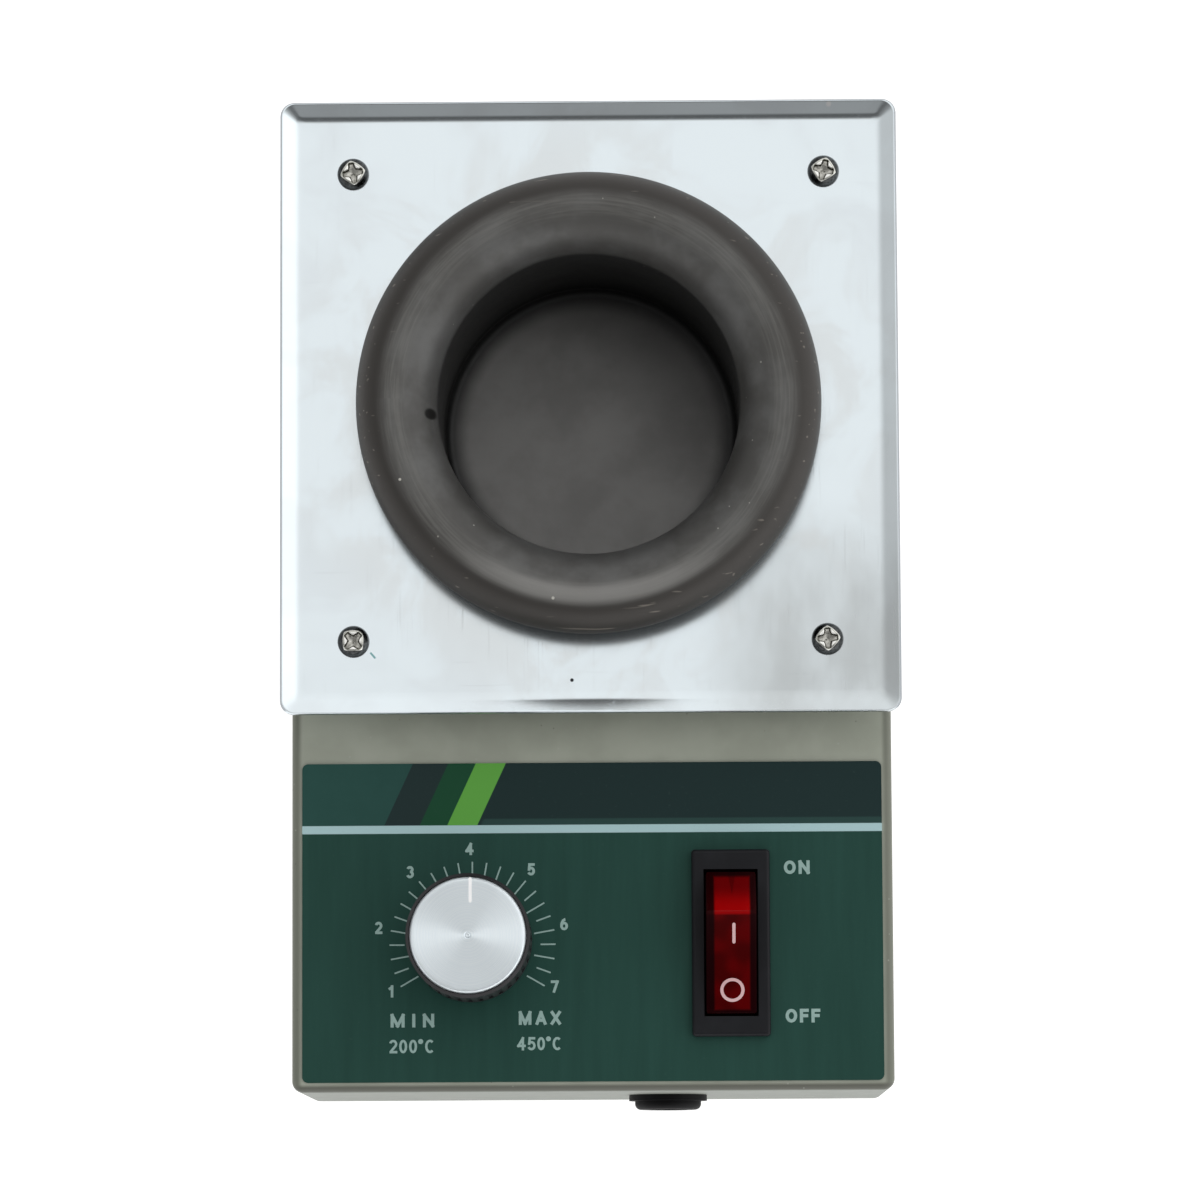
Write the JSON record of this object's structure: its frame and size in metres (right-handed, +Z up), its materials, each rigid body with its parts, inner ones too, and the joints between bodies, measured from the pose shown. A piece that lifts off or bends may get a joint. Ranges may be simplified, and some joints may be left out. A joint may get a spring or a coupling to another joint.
{
  "type": "solder pot",
  "caption": "Electric solder pot: a flared crucible in a stainless drip tray on a folded steel case with a temperature knob and a rocker switch.",
  "frame": {"origin": "on the surface it stands on, under the middle of its outline", "axes": "+X to the right seen from the knob side, +Y to the back where the crucible is, +Z up"},
  "size_m": [0.103, 0.1676, 0.0802],
  "materials": {
    "case_paint": "semi-gloss khaki paint with a fine orange peel",
    "rubber": "matte moulded rubber",
    "screw_steel": "bright zinc plate",
    "tray_steel": "polished stainless sheet with fine scratches",
    "crucible_coat": "matte dark grey oxide skin",
    "heater_steel": "dull stainless sheet",
    "insulation": "pale ceramic fibre",
    "panel_print": "satin printed film, green",
    "knob_plastic": "black moulded plastic",
    "spun_aluminium": "spun face with a bright bevel",
    "switch_plastic": "black moulded plastic",
    "rocker_red": "clear red moulded plastic",
    "brass_plate": "tinned brass",
    "bushing_plastic": "black nylon",
    "board_green": "solder mask on glass laminate",
    "sink_black": "black anodised extrusion",
    "capacitor_red": "dipped film capacitor",
    "block_green": "moulded nylon"
  },
  "bodies": {
    "housing": {"case_shell": "case_paint", "base_plate": "case_paint", "base_screws": "screw_steel", "foot_front_left": "rubber", "foot_front_right": "rubber", "foot_back_left": "rubber", "foot_back_right": "rubber", "foot_screws": "screw_steel", "drip_tray": "tray_steel", "tray_spacers": "screw_steel", "tray_screws": "screw_steel", "tray_nuts": "screw_steel", "crucible": "crucible_coat", "heater_band": "heater_steel", "band_screw": "screw_steel", "band_nut": "screw_steel", "heater_sleeve": "insulation", "insulation_pad": "insulation", "heat_shield": "heater_steel", "control_label": "panel_print", "potentiometer": "screw_steel", "bushing_nut": "screw_steel", "bushing_washer": "screw_steel", "switch_housing": "switch_plastic", "switch_terminals": "brass_plate", "cable_bushing": "bushing_plastic", "control_board": "board_green", "board_standoffs": "brass_plate", "board_screws": "screw_steel", "triac": "switch_plastic", "heat_sink": "sink_black", "capacitor": "capacitor_red", "terminal_block": "block_green", "earth_stud": "brass_plate", "earth_nut": "brass_plate"},
    "knob": {"knob_body": "knob_plastic", "knob_cap": "spun_aluminium", "control_shaft": "screw_steel"},
    "rocker": {"rocker": "rocker_red"}
  },
  "joints": [
    {"name": "knob_turn", "type": "hinge", "parent": "housing", "child": "knob", "pos_m": [-0.0202, -0.0563, 0.06], "axis": [0, 0, 1], "range_deg": [-120, 120]},
    {"name": "rocker_press", "type": "hinge", "parent": "housing", "child": "rocker", "pos_m": [0.023, -0.0569, 0.05305], "axis": [1, 0, 0], "range_deg": [-40, 0]}
  ]
}
